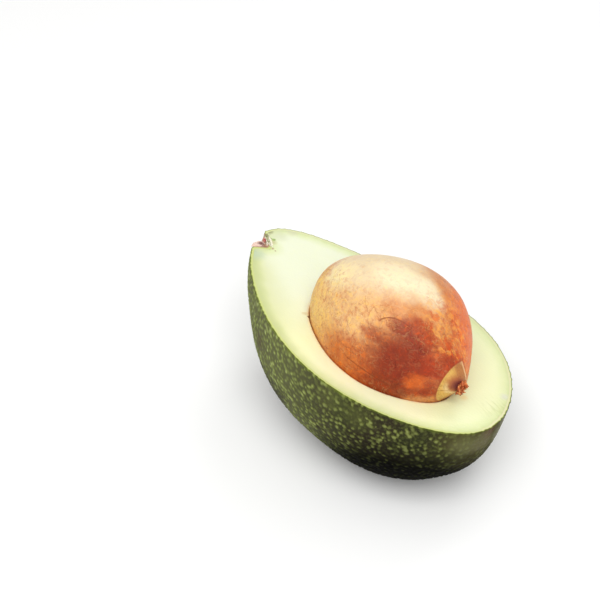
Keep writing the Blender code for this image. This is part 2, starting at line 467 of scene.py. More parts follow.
def peel_finish():
    finish = Finish("peel", Specular_IOR_Level=0.03)
    place = finish.attribute("own_place", "Vector")
    along = finish.part(place, "X")
    below = finish.times(finish.part(place, "Z"), -1.0)
    wart = finish.attribute("wart")
    tone = finish.attribute("tone")
    broad = finish.clouds(place, 14.0, detail=3.0)
    patchy = finish.clouds(place, 5.0, detail=2.0)
    fine = finish.clouds(place, 0.7, detail=3.0, rough=0.6)

    ground = finish.blend(finish.ramp(broad, 0.38, 0.62), OLIVE_GROUND, BROWN_GROUND)
    ground = finish.blend(finish.ramp(along, *LEFT_FADE, 0.0, 0.95), ground, LEFT_GROUND)
    ground = finish.blend(finish.ramp(fine, 0.45, 0.72, 0.0, 0.5), ground, GROUND_GRAIN)

    speckle = finish.blend(finish.ramp(tone, 0.1, 0.9), DULL_SPECKLE, FRESH_SPECKLE)
    speckle = finish.blend(finish.ramp(along, *LEFT_FADE, 0.0, 0.9), speckle, LEFT_SPECKLE)
    # Painted highlight: the tops of the paler warts are painted brighter, most of all towards the stem end.
    glint = finish.times(finish.ramp(wart, 0.55, 1.0), finish.ramp(along, *GLINT_FADE, 0.25, 0.7))
    speckle = finish.blend(finish.times(glint, tone), speckle, SPECKLE_GLINT)
    soft_wart = finish.plus(wart, finish.times(finish.minus(fine, 0.5), 0.8))
    veil = finish.times(finish.ramp(tone, 0.0, 0.7, 0.45, 1.0), finish.ramp(patchy, 0.30, 0.55, 0.55, 1.0))
    halo = finish.times(finish.ramp(soft_wart, 0.0, 0.40, 0.0, 0.55), veil)
    shown = finish.times(finish.ramp(soft_wart, 0.25, 0.90), veil)
    smooth_end = finish.ramp(finish.plus(along, finish.times(broad, 8.0)), *BLOSSOM_END_FADE)
    shown = finish.times(shown, finish.ramp(smooth_end, 0.0, 1.0, 1.0, 0.3))
    ground = finish.blend(halo, ground, finish.blend(0.5, ground, speckle))
    ground = finish.blend(smooth_end, ground, BLOSSOM_END)
    colour = finish.blend(shown, ground, speckle)

    # Painted shade: the low side of the peel towards the stem end is painted darker.
    low = finish.ramp(finish.plus(below, finish.times(patchy, 6.0)), *LOW_LEFT_SHADE_DEPTH, 0.0, 0.8)
    low_left_shade = finish.times(low, finish.ramp(along, *LOW_LEFT_SHADE_FADE))
    colour = finish.blend(low_left_shade, colour, LOW_LEFT_SHADE)
    colour = finish.patches(colour, finish.strayed(place, 4.0, 2.0), PEEL_PATCHES)

    green_edge = finish.ramp(finish.plus(below, finish.times(patchy, 2.0)), *GREEN_DEPTH, 0.60, 0.0)
    green_edge = finish.times(green_edge, finish.ramp(along, *GREEN_FADE, 1.0, 0.45))
    colour = finish.blend(green_edge, colour, GREEN_AT_CUT)
    # Painted shade: the peel is painted near black towards the bottom, and in a wide patch under the blossom
    # half, where the shade falls.
    bottom_shade = finish.ramp(finish.distance(finish.strayed(place, 9.0, 2.5), BOTTOM_SHADE_MIDDLE), *BOTTOM_SHADE_REACH, 0.98, 0.0)
    underside_shade = finish.ramp(finish.height(), *UNDERSIDE_SHADE_HEIGHT, 0.90, 0.0)
    dark = finish.math("MAXIMUM", bottom_shade, underside_shade)
    dark = finish.times(dark, finish.ramp(shown, 0.2, 1.0, 1.0, 0.92))
    colour = finish.blend(dark, colour, PAINTED_SHADE_BLACK)

    crust_colour = finish.blend(finish.clouds(place, 1.6, detail=3.0), NOTCH_CRUST, NOTCH_CRUST_PALE)
    colour = finish.blend(finish.ramp(finish.attribute("dent"), *CRUST_DENT), colour, crust_colour)

    inside = finish.attribute("inside")
    cut_rim = finish.blend(finish.ramp(inside, 0.03, 0.22), colour, CUT_GREEN)
    rim_tone = finish.blend(finish.ramp(finish.part(place, "Y"), *RIM_SIDES), NEAR_RIM, FAR_RIM)
    cut_rim = finish.blend(finish.ramp(inside, 0.12, 0.45), cut_rim, rim_tone)
    colour = finish.blend(finish.ramp(inside, 0.0, 0.02), colour, cut_rim)
    finish.put(colour, finish.shader.inputs["Base Color"])

    rough = finish.plus(finish.ramp(fine, 0.3, 0.7, 0.45, 0.62), finish.times(bottom_shade, 0.25))
    finish.put(rough, finish.shader.inputs["Roughness"])
    pores = finish.clouds(place, 0.35, detail=2.0)
    finish.put(finish.bump(pores, 0.00006), finish.shader.inputs["Normal"])
    return finish


new_piece("peel", peel_mesh(), peel_finish(), "skin")

# The seed is a hard stone in a papery brown coat, with fine winding wrinkles. It is blunt at the stem end.
# At the other end the coat stops at a scar with one straight edge, torn into shreds at its middle.
SEED_CENTRE = Vector((0.0112, -0.0028, 0.0058))
SEED_HALF_SIZE = Vector((0.0289, 0.0215, 0.0226))
SEED_GIRTH_TERMS = (1.0, 0.04, -0.32, -0.30)
SEED_FAR_SIDE = 0.25
SEED_BEND = -0.0035
SEED_TURN = Euler((0.0, -0.07, 0.06))
SEED_STEPS = 104
SEED_COAT_SINK = 0.00010
SEED_WAVES = 0.00016
SEED_WAVE_SIZE = 0.0075
SEED_FINE_WAVES = (0.4, 2.7)
SCAR_MIDDLE = (0.045, -0.045)
SCAR_REACH = (0.525, 0.51)
SCAR_FAR_EDGE = 0.25
SCAR_FAR_EDGE_LEAN = 0.18
SCAR_FAR_EDGE_RISE = 4
SCAR_DEPTH = 0.00030
SCAR_LIP = 0.10
TORN_MIDDLE = Vector((0.990, -0.130, 0.010))
SCRATCH_MIDDLE = Vector((0.37, -0.63, 0.69))
SCRATCH_AXIS = Vector((0.520, -0.709, 0.476))
SCRATCH_RADIUS = 0.293
FOLD_MIDDLE = Vector((0.296, -0.951, -0.092))
FOLD_AXIS = Vector((-0.014, -0.592, -0.806))
FOLD_RADIUS = 0.857
SHRED_ROOT = Vector((0.99, -0.04, -0.08))
SHRED_SPREAD = 0.0017
SHREDS = 30
SHRED_DRAW = 5
SHRED_SIDES = 6
SHRED_CUTS = 4
SHRED_LENGTH = 0.0028
SHRED_LENGTHS = (0.4, 1.0)
SHRED_WIDTH = 0.0008
SHRED_WIDTHS = (0.5, 1.0)
SHRED_TIP = 0.15
SHRED_FLATNESS = 0.5
SHRED_CURL = 0.35
SHRED_KNOBS = 0.15
SHRED_LEANS = (0.5, 1.35)
SHRED_TONES = (0.4, 1.0)
SEED_PLACE = Matrix.Translation(SEED_CENTRE) @ SEED_TURN.to_matrix().to_4x4()


def seed_point(direction):
    """Where the seed's coat lies in this direction from the seed's middle."""
    along, across, up = direction
    share = girth(SEED_GIRTH_TERMS, along)
    side = share * across * (1 + SEED_FAR_SIDE * across)
    point = Vector((along, side, share * up)) * SEED_HALF_SIZE
    point.y += SEED_BEND * (1 - along**2)
    return point


def in_scar(direction):
    """How far inside the scar's edge this direction points, from 0 at the edge to 1 in its middle."""
    across = (direction.y - SCAR_MIDDLE[0]) / SCAR_REACH[0]
    up = (direction.z - SCAR_MIDDLE[1]) / SCAR_REACH[1]
    far_edge = SCAR_FAR_EDGE - SCAR_FAR_EDGE_LEAN * direction.z - direction.y
    return min(1 - across**2 - up**2, far_edge * SCAR_FAR_EDGE_RISE) if direction.x > 0 else -1.0


def seed_ball(steps, outside=0.0, relief=False):
    """The closed coat, this far outside the seed's form, smooth or with its low waves and its scar."""
    bm = ball(steps)
    scar = bm.verts.layers.float.new("scar")
    shred = bm.verts.layers.float.new("shred")
    own_direction = bm.verts.layers.float_vector.new("own_direction")
    own_place = bm.verts.layers.float_vector.new("own_place")
    for vert in bm.verts:
        vert[own_direction] = vert.co
        vert[scar] = in_scar(vert.co)
        vert[shred] = 0.0
        vert.co = seed_point(vert.co)
        vert[own_place] = vert.co * MILLIMETRES
    bm.normal_update()
    moved = []
    for vert in bm.verts:
        height = outside
        if relief:
            wave = noise.noise(vert.co / SEED_WAVE_SIZE)
            wave += SEED_FINE_WAVES[0] * noise.noise(vert.co / SEED_WAVE_SIZE * SEED_FINE_WAVES[1])
            height += SEED_WAVES * min(wave, 0.0) - SEED_COAT_SINK
            height -= SCAR_DEPTH * min(max(vert[scar] / SCAR_LIP, 0.0), 1.0)
        moved.append((vert, vert.co + vert.normal * height))
    for vert, point in moved:
        vert.co = point
    bm.transform(SEED_PLACE)
    return bm


def add_shreds(bm):
    """Torn ends of the coat, which stand out round the middle of the scar."""
    draw = random.Random(SHRED_DRAW)
    root = SEED_PLACE @ seed_point(SHRED_ROOT.normalized())
    for _ in range(SHREDS):
        length = SHRED_LENGTH * draw.uniform(*SHRED_LENGTHS)
        width = SHRED_WIDTH * draw.uniform(*SHRED_WIDTHS)
        strand = bmesh.new()
        bmesh.ops.create_cone(
            strand, cap_ends=True, segments=SHRED_SIDES, radius1=width, radius2=width * SHRED_TIP,
            depth=length,
        )
        edges = [edge for edge in strand.edges if abs(edge.verts[0].co.z - edge.verts[1].co.z) > length / 2]
        bmesh.ops.subdivide_edges(strand, edges=edges, cuts=SHRED_CUTS)
        for vert in strand.verts:
            reach = vert.co.z / length + 0.5
            vert.co.x = vert.co.x * SHRED_FLATNESS + reach**2 * length * SHRED_CURL
            vert.co.y += SHRED_KNOBS * width * noise.noise(vert.co / width)
        around = draw.uniform(0.0, 2 * pi)
        lean = draw.uniform(*SHRED_LEANS)
        turn = Matrix.Rotation(around, 4, "X") @ Matrix.Rotation(pi / 2 - lean, 4, "Y")
        spread = Vector((0.0, cos(around), sin(around))) * draw.uniform(0.0, SHRED_SPREAD)
        tone = draw.uniform(*SHRED_TONES)
        place = strand.verts.layers.float_vector.new("own_place")
        shred = strand.verts.layers.float.new("shred")
        strand.transform(Matrix.Translation(root + spread) @ turn)
        for vert in strand.verts:
            vert[place] = vert.co * MILLIMETRES
            vert[shred] = tone
        take_in(bm, strand)
    return bm


SEED_BROWN = paint(203, 131, 76)
SEED_TAN = paint(216, 151, 98)
PALE_STREAK = paint(240, 164, 78)
DEEP_STREAK = paint(206, 84, 30)
MOTTLE_LIGHT = paint(255, 206, 140)
MOTTLE_DEEP = paint(214, 138, 96)
CRUMB_LIGHT = paint(255, 210, 150)
CRUMB_DEEP = paint(222, 150, 112)
PALE_WRINKLE = paint(126, 98, 66)
DARK_WRINKLE = paint(206, 122, 80)
SCRATCH_TONE = paint(132, 62, 34)
FOLD_TONE = paint(118, 50, 20)
SCAR_BROWN = paint(186, 116, 66)
SCAR_YELLOW = paint(216, 168, 88)
SCAR_FAR_TONE = paint(172, 104, 58)
SCAR_BAND = paint(255, 226, 160)
TORN_BROWN = paint(142, 72, 50)
TORN_DARK = paint(88, 38, 42)
SCAR_CRACK = paint(150, 92, 50)
SCAR_FAR_RIM = paint(236, 196, 146)
ROUND_SCAR = paint(150, 58, 26)
SHRED_DARK = paint(128, 52, 34)
SHRED_BRIGHT = paint(212, 114, 66)
SHRED_PALE = paint(244, 170, 100)
SEED_PATCHES_AND_PAINTED_LIGHT = (
    # Golden at the stem end, orange on the far shoulder and tan on the near side.
    ((-0.66, -0.70, 0.20), 0.22, 0.66, 0.9, paint(246, 200, 122)),
    ((0.66, 0.66, 0.36), 0.30, 0.80, 0.95, paint(234, 112, 40)),
    ((-0.10, -0.82, 0.56), 0.20, 0.60, 0.85, paint(232, 186, 128)),
    # Cream on top, a painted highlight where the lights above reflect.
    ((-0.30, -0.10, 0.94), 0.40, 0.78, 0.95, paint(233, 212, 172)),
    ((-0.52, -0.50, 0.68), 0.12, 0.36, 0.9, paint(248, 226, 172)),
    ((0.06, -0.16, 0.98), 0.16, 0.38, 0.9, paint(243, 225, 186)),
    ((0.33, 0.08, 0.94), 0.09, 0.29, 0.95, paint(242, 228, 190)),
    # Brown low on the near side, partly the coat's own colour and partly painted shade where it turns down.
    ((0.12, -0.99, -0.12), 0.15, 0.55, 0.8, paint(192, 100, 42)),
    ((0.45, -0.88, -0.14), 0.10, 0.46, 0.85, paint(166, 72, 30)),
    ((0.56, -0.80, -0.20), 0.12, 0.38, 0.85, paint(126, 50, 22)),
    # Dark red from the middle of the near side to the scar.
    ((0.60, -0.38, 0.70), 0.10, 0.26, 0.9, paint(160, 64, 32)),
    ((0.49, -0.60, 0.62), 0.07, 0.20, 0.9, paint(140, 56, 34)),
    ((0.25, -0.86, 0.44), 0.05, 0.17, 0.8, paint(170, 88, 54)),
    ((0.58, -0.72, 0.22), 0.20, 0.52, 0.97, paint(130, 45, 21)),
    ((0.80, -0.45, 0.26), 0.12, 0.40, 0.9, paint(156, 56, 26)),
    ((0.63, -0.56, 0.52), 0.05, 0.17, 0.8, paint(128, 44, 24)),
    ((0.86, -0.08, 0.48), 0.14, 0.34, 0.9, paint(178, 66, 28)),
    ((0.80, -0.56, -0.22), 0.06, 0.24, 0.9, paint(148, 50, 22)),
)
PATCHES_OVER_STREAKS = (
    # Dark above the scar, then an orange patch beside it, dark again at the scar's edge.
    ((0.88, -0.18, 0.43), 0.12, 0.25, 0.95, paint(158, 66, 36)),
    ((0.71, -0.42, 0.56), 0.04, 0.20, 0.6, paint(150, 56, 28)),
    ((0.74, -0.66, -0.02), 0.05, 0.17, 0.8, paint(206, 96, 36)),
    ((0.85, -0.52, -0.05), 0.03, 0.13, 0.85, paint(156, 62, 32)),
)
STREAKS_MIDDLE = (0.74, 0.10, 0.66)
SMOOTH_MIDDLE = (-0.05, -0.05, 0.99)
CALM_MIDDLE = (0.62, -0.72, 0.15)


def seed_finish():
    finish = Finish("seed_coat", Specular_IOR_Level=0.24)
    place = finish.attribute("own_place", "Vector")
    direction = finish.attribute("own_direction", "Vector")
    across = finish.part(direction, "Y")
    up = finish.part(direction, "Z")
    broad = finish.clouds(place, 8.0, detail=3.0)
    mottle = finish.clouds(finish.strayed(place, 2.4, 0.8), 1.9, detail=4.0, rough=0.65)
    crumbs = finish.clouds(finish.strayed(place, 1.0, 0.4), 0.8, detail=3.0, rough=0.6)
    strayed = finish.strayed(direction, 0.30, 0.10)

    colour = finish.blend(finish.ramp(broad, 0.35, 0.65), SEED_BROWN, SEED_TAN)
    colour = finish.patches(colour, strayed, SEED_PATCHES_AND_PAINTED_LIGHT)

    meridian = finish.tree.nodes.new("ShaderNodeCombineXYZ")
    finish.put(finish.times(finish.math("ARCTAN2", across, up), 6.5), meridian.inputs["X"])
    finish.put(finish.times(finish.part(direction, "X"), 15.0), meridian.inputs["Y"])
    streaks = finish.clouds(finish.strayed(meridian.outputs[0], 1.2, 0.9), 1.0, detail=3.0, rough=0.6)
    streaked = finish.ramp(finish.distance(strayed, STREAKS_MIDDLE), 0.26, 0.56, 1.0, 0.0)
    pale_streak = finish.times(finish.ramp(streaks, 0.48, 0.64, 0.0, 0.7), streaked)
    colour = finish.blend(pale_streak, colour, PALE_STREAK)
    deep_streak = finish.times(finish.ramp(streaks, 0.50, 0.38, 0.0, 0.5), streaked)
    colour = finish.blend(deep_streak, colour, DEEP_STREAK)
    colour = finish.patches(colour, strayed, PATCHES_OVER_STREAKS)

    smooth = finish.ramp(finish.distance(strayed, SMOOTH_MIDDLE), 0.45, 0.85, 0.35, 1.0)
    calm = finish.ramp(finish.distance(strayed, CALM_MIDDLE), 0.25, 0.50, 0.35, 1.0)
    lively = finish.times(smooth, calm)
    light = finish.times(finish.ramp(mottle, 0.50, 0.66, 0.0, 0.60), lively)
    colour = finish.blend(light, colour, MOTTLE_LIGHT, how="SOFT_LIGHT")
    deep = finish.times(finish.ramp(mottle, 0.50, 0.36, 0.0, 0.40), lively)
    colour = finish.blend(deep, colour, MOTTLE_DEEP, how="MULTIPLY")
    light_crumbs = finish.ramp(crumbs, 0.52, 0.66, 0.0, 0.35)
    colour = finish.blend(light_crumbs, colour, CRUMB_LIGHT, how="SOFT_LIGHT")
    deep_crumbs = finish.times(finish.ramp(crumbs, 0.48, 0.34, 0.0, 0.20), smooth)
    colour = finish.blend(deep_crumbs, colour, CRUMB_DEEP, how="MULTIPLY")

    def wrinkles(size, width, shift, mask_size, most):
        """Short winding lines, which fade in and out. The shift sets one kind beside another."""
        moved = finish.tree.nodes.new("ShaderNodeVectorMath")
        moved.inputs[1].default_value = (shift, shift, shift)
        finish.put(finish.strayed(place, 3.0, 0.8), moved.inputs[0])
        level = finish.clouds(moved.outputs[0], size, detail=1.5)
        line = finish.math("ABSOLUTE", finish.minus(level, 0.5))
        shown = finish.ramp(finish.clouds(moved.outputs[0], mask_size, detail=1.0), 0.47, 0.60, 0.0, most)
        return finish.times(finish.ramp(line, 0.0, width, 1.0, 0.0), shown)

    pale_long = wrinkles(size=3.0, width=0.030, shift=60.0, mask_size=4.0, most=0.8)
    pale_short = wrinkles(size=1.7, width=0.050, shift=90.0, mask_size=3.0, most=0.7)
    pale_lines = finish.times(
        finish.math("MAXIMUM", pale_long, pale_short), finish.ramp(calm, 0.35, 1.0, 0.35, 1.0)
    )
    dark_long = wrinkles(size=4.2, width=0.015, shift=0.0, mask_size=5.0, most=0.45)
    dark_short = wrinkles(size=1.9, width=0.034, shift=30.0, mask_size=3.2, most=0.30)
    below_top = finish.ramp(smooth, 0.35, 1.0, 0.30, 1.0)
    dark_lines = finish.times(finish.math("MAXIMUM", dark_long, dark_short), below_top)
    colour = finish.blend(pale_lines, colour, PALE_WRINKLE, how="SCREEN")
    colour = finish.blend(dark_lines, colour, DARK_WRINKLE, how="MULTIPLY")

    def drawn_line(middle, axis, radius, width, ends, tone, most, colour):
        """A long thin line, where a plane square to the axis meets the coat, between two ends."""
        off = finish.math("ABSOLUTE", finish.minus(finish.distance(direction, axis), radius))
        line = finish.ramp(off, width * 0.3, width, most, 0.0)
        near = finish.ramp(finish.distance(direction, middle), ends * 0.8, ends, 1.0, 0.0)
        return finish.blend(finish.times(line, near), colour, tone)

    colour = drawn_line(
        SCRATCH_MIDDLE, SCRATCH_AXIS, SCRATCH_RADIUS, width=0.012, ends=0.21, tone=SCRATCH_TONE, most=0.7,
        colour=colour,
    )
    colour = drawn_line(
        FOLD_MIDDLE, FOLD_AXIS, FOLD_RADIUS, width=0.013, ends=0.27, tone=FOLD_TONE, most=0.55,
        colour=colour,
    )

    scar = finish.attribute("scar")
    torn = finish.distance(finish.strayed(direction, 0.15, 0.04), TORN_MIDDLE)
    scar_colour = finish.blend(finish.ramp(torn, 0.18, 0.36), SCAR_BROWN, SCAR_YELLOW)
    toward_far = finish.plus(across, finish.times(finish.minus(broad, 0.5), 0.2))
    scar_colour = finish.blend(finish.ramp(toward_far, -0.24, 0.0, 0.0, 0.85), scar_colour, SCAR_FAR_TONE)
    pale_band = finish.times(finish.ramp(torn, 0.20, 0.27), finish.ramp(torn, 0.27, 0.34, 1.0, 0.0))
    pale_band = finish.times(pale_band, finish.ramp(up, 0.15, -0.1, 0.0, 0.6))
    scar_colour = finish.blend(pale_band, scar_colour, SCAR_BAND)
    scar_colour = finish.blend(finish.ramp(torn, 0.10, 0.32, 1.0, 0.0), scar_colour, TORN_BROWN)
    scar_colour = finish.blend(finish.ramp(torn, 0.06, 0.22, 0.9, 0.0), scar_colour, TORN_DARK)
    crack = finish.ramp(finish.math("ABSOLUTE", finish.plus(up, 0.17)), 0.004, 0.014, 0.6, 0.0)
    crack = finish.times(crack, finish.ramp(across, -0.28, -0.36))
    scar_colour = finish.blend(crack, scar_colour, SCAR_CRACK)
    far_rim = finish.times(finish.ramp(scar, 0.22, 0.05), finish.ramp(across, 0.05, 0.20))
    scar_colour = finish.blend(finish.times(far_rim, 0.7), scar_colour, SCAR_FAR_RIM)
    colour = finish.blend(finish.ramp(scar, -0.14, 0.0, 0.0, 0.55), colour, ROUND_SCAR)
    colour = finish.blend(finish.ramp(scar, -0.01, 0.06), colour, scar_colour)
    shred = finish.attribute("shred")
    shred_colour = finish.blend(finish.ramp(shred, 0.4, 1.0), SHRED_DARK, SHRED_BRIGHT)
    shred_colour = finish.blend(finish.ramp(crumbs, 0.5, 0.7), shred_colour, SHRED_PALE)
    colour = finish.blend(finish.ramp(shred, 0.05, 0.3), colour, shred_colour)
    finish.put(colour, finish.shader.inputs["Base Color"])

    finish.put(finish.ramp(mottle, 0.3, 0.7, 0.34, 0.50), finish.shader.inputs["Roughness"])
    height = finish.plus(mottle, finish.times(crumbs, 0.4))
    height = finish.plus(height, finish.times(pale_lines, 0.4))
    height = finish.minus(height, finish.times(dark_lines, 0.6))
    relief = finish.bump(finish.times(height, below_top), 0.00034)
    finish.put(relief, finish.shader.inputs["Normal"])
    return finish


seed_mesh = add_shreds(seed_ball(SEED_STEPS, relief=True))
new_piece("papery_seed", seed_mesh, seed_finish(), "seed")

# The flesh is soft, pale and moist, one mass from the peel to the hollow that the seed grew in. The
# knife left its face flat. It is greener towards the peel, warmer round the near side of the hollow's rim
# and stained in places by the seed. In front of the seed its face is painted paler, a painted light where
# the seed shades it.
FLESH_SPOKES = 480
CUP_ROWS = 16
FACE_ROWS = 56
HOLLOW_ROWS = 24
FLESH_ROWS = CUP_ROWS + FACE_ROWS + HOLLOW_ROWS
FLESH_INSIDE_PEEL = 0.00001
HOLLOW_GAP = 0.00005
HOLLOW_MIDDLE = Vector((0.0112, -0.0028, 0.0))
HOLLOW_RIM_ROUND = 0.0006
HOLLOW_RIM_DROP = 0.03
HOLLOW_STEPS = 48
FLESH_BEHIND_NOTCH = 1.45
FACE_WAVES = 0.00010
FACE_WAVE_SIZE = 0.008
FACE_WAVE_SINK = 0.6
FACE_WAVES_FROM_PEEL = 0.002
FAR_AWAY = 9.0
SAME_PLACE = 1e-7


def flesh_mesh():
    """A row of points spun into a disc, whose rings become the outside, the cut face and the hollow."""
    coat = seed_ball(HOLLOW_STEPS, HOLLOW_GAP)
    hollow = BVHTree.FromBMesh(coat)
    coat.free()
    bm = bmesh.new()
    row = [bm.verts.new((0, 0, 0)), bm.verts.new((FLESH_ROWS, 0, 0))]
    edge = bm.edges.new(row)
    bmesh.ops.subdivide_edges(bm, edges=[edge], cuts=FLESH_ROWS - 1)
    bmesh.ops.spin(
        bm, geom=bm.verts[:] + bm.edges[:], cent=(0, 0, 0), axis=(0, 0, 1), angle=2 * pi,
        steps=FLESH_SPOKES, use_merge=True,
    )
    own_place = bm.verts.layers.float_vector.new("own_place")
    from_peel = bm.verts.layers.float.new("from_peel")
    from_seed = bm.verts.layers.float.new("from_seed")

    def outline(angle, drop):
        """Where the outside of the flesh lies, round the fruit and down from the cut by these angles."""
        direction = Vector((cos(angle) * cos(drop), sin(angle) * cos(drop), -sin(drop)))
        point = fruit_point(direction)
        point -= point.normalized() * (FLESH_INSIDE_PEEL - stray_at(point))
        point, _ = curl_into_notch(point, PEEL_OUTSIDE * FLESH_BEHIND_NOTCH)
        floor = FLAT_SPOT.dot(FRUIT_UP) + PEEL_OUTSIDE
        return point - FRUIT_UP * lower_of(point.dot(FRUIT_UP) - floor, 0.0, FLAT_SPOT_ROUND)

    def wall(angle, drop):
        """Where the hollow's wall lies, round the seed and down from the cut by these angles."""
        direction = Vector((cos(angle) * cos(drop), sin(angle) * cos(drop), -sin(drop)))
        return hollow.ray_cast(HOLLOW_MIDDLE, direction)[0]

    edge_points = [outline(2 * pi * spoke / FLESH_SPOKES, 0.0) for spoke in range(FLESH_SPOKES)]
    rim_points = [wall(2 * pi * spoke / FLESH_SPOKES, HOLLOW_RIM_DROP) for spoke in range(FLESH_SPOKES)]
    edge_tree = KDTree(FLESH_SPOKES)
    rim_tree = KDTree(FLESH_SPOKES)
    for spoke in range(FLESH_SPOKES):
        edge_tree.insert(edge_points[spoke], spoke)
        rim_tree.insert(Vector((rim_points[spoke].x, rim_points[spoke].y, 0)), spoke)
    edge_tree.balance()
    rim_tree.balance()

    for vert in bm.verts:
        ring = round(hypot(vert.co.x, vert.co.y))
        angle = atan2(vert.co.y, vert.co.x)
        spoke = round(angle / (2 * pi) * FLESH_SPOKES) % FLESH_SPOKES
        if ring < CUP_ROWS:
            vert.co = outline(angle, (1 - ring / CUP_ROWS) * pi / 2)
            vert[from_seed] = FAR_AWAY
        elif ring <= CUP_ROWS + FACE_ROWS:
            share = (ring - CUP_ROWS) / FACE_ROWS
            point = edge_points[spoke].lerp(rim_points[spoke], share)
            point.z = 0.0
            to_rim = rim_tree.find(point)[2]
            to_edge = edge_tree.find(point)[2]
            vert[from_peel] = to_edge * MILLIMETRES
            vert[from_seed] = to_rim * MILLIMETRES
            rounded = max(1 - to_rim / HOLLOW_RIM_ROUND, 0.0)
            point.z = -HOLLOW_RIM_ROUND * (1 - sqrt(1 - rounded**2))
            fade = min(to_edge / FACE_WAVES_FROM_PEEL, 1.0)
            point.z += fade * FACE_WAVES * (noise.noise(point / FACE_WAVE_SIZE) - FACE_WAVE_SINK)
            vert.co = point
        else:
            share = (ring - CUP_ROWS - FACE_ROWS) / HOLLOW_ROWS
            vert.co = wall(angle, HOLLOW_RIM_DROP + share * (pi / 2 - HOLLOW_RIM_DROP))
            vert[from_peel] = FAR_AWAY
        vert[own_place] = vert.co * MILLIMETRES
    bmesh.ops.remove_doubles(bm, verts=bm.verts[:], dist=SAME_PLACE)
    bmesh.ops.recalc_face_normals(bm, faces=bm.faces[:])
    return bm


STEM_END_CREAM = paint(234, 239, 209)
BLOSSOM_END_CREAM = paint(236, 242, 193)
NEAR_FACE_PAINTED_LIGHT = paint(251, 254, 206)
UNDER_PEEL = paint(218, 229, 168)
AGAINST_PEEL = paint(206, 218, 146)
LEFT_FACE = paint(214, 218, 161)
LEFT_EDGE = paint(196, 206, 140)
FIBRES = paint(190, 202, 132)
NEAR_SIDE = (-6.0, -16.0)
NEAR_FACE_LIGHT_FADE = (6.0, 30.0)
BLOSSOM_FADE = (-20.0, 30.0)
LEFT_SIDE = (12.0, -14.0)
UNDER_PEEL_DEPTH = (1.2, 5.5)
AGAINST_PEEL_DEPTH = (0.9, 2.2)
LEFT_FACE_DEPTH = (2.0, 14.0)
LEFT_EDGE_DEPTH = (1.0, 4.5)
BLUSH_WIDTH = (0.2, 1.5)
RIM_LINE_WIDTH = (0.02, 0.5)
RIM_LINE_SIDE = (-2.0, -10.0)
FIBRE_STRETCH = (0.25, 1.4, 1.0)
FIBRES_MIDDLE = (46.0, 12.0, 0.0)
RIM_BLUSH = paint(250, 224, 170)
RIM_WARM_LINE = paint(222, 158, 88)
FACE_PATCHES = (
    # Dull, stained and green places round the notch.
    ((-41.5, -12.6, 0.0), 0.5, 4.5, 0.8, paint(190, 206, 172)),
    ((-47.2, 0.6, 0.0), 0.8, 4.2, 0.55, paint(206, 212, 170)),
    ((-50.0, -1.2, 0.0), 0.3, 1.8, 0.8, paint(150, 150, 100)),
    ((-46.0, -2.5, 0.0), 0.2, 0.9, 0.8, paint(120, 158, 44)),
    ((-46.9, -2.9, 0.0), 0.1, 0.7, 0.6, paint(110, 130, 60)),
    ((-44.9, -3.8, 0.0), 0.3, 2.0, 0.7, paint(190, 184, 124)),
    ((-47.5, 6.0, 0.0), 0.5, 3.0, 0.5, paint(206, 202, 172)),
    # Two brown specks inward of the notch.
    ((-41.8, -5.8, 0.0), 0.1, 0.8, 0.9, paint(176, 136, 100)),
    ((-40.6, -5.7, 0.0), 0.1, 0.5, 0.8, paint(160, 120, 84)),
    # A dull spot at the blossom end.
    ((41.8, 16.7, 0.0), 0.3, 2.2, 0.7, paint(216, 220, 200)),
)
RIM_PATCHES = (
    # A dark nick in the hollow's rim with a stain beside it, and a warm stain by the seed's scar.
    ((-9.6, -16.0, 0.0), 0.2, 0.8, 0.95, paint(120, 74, 34)),
    ((-11.3, -16.4, 0.0), 0.2, 1.3, 0.5, paint(214, 190, 120)),
    ((37.2, 4.4, 0.0), 0.3, 2.0, 0.6, paint(244, 216, 140)),
)


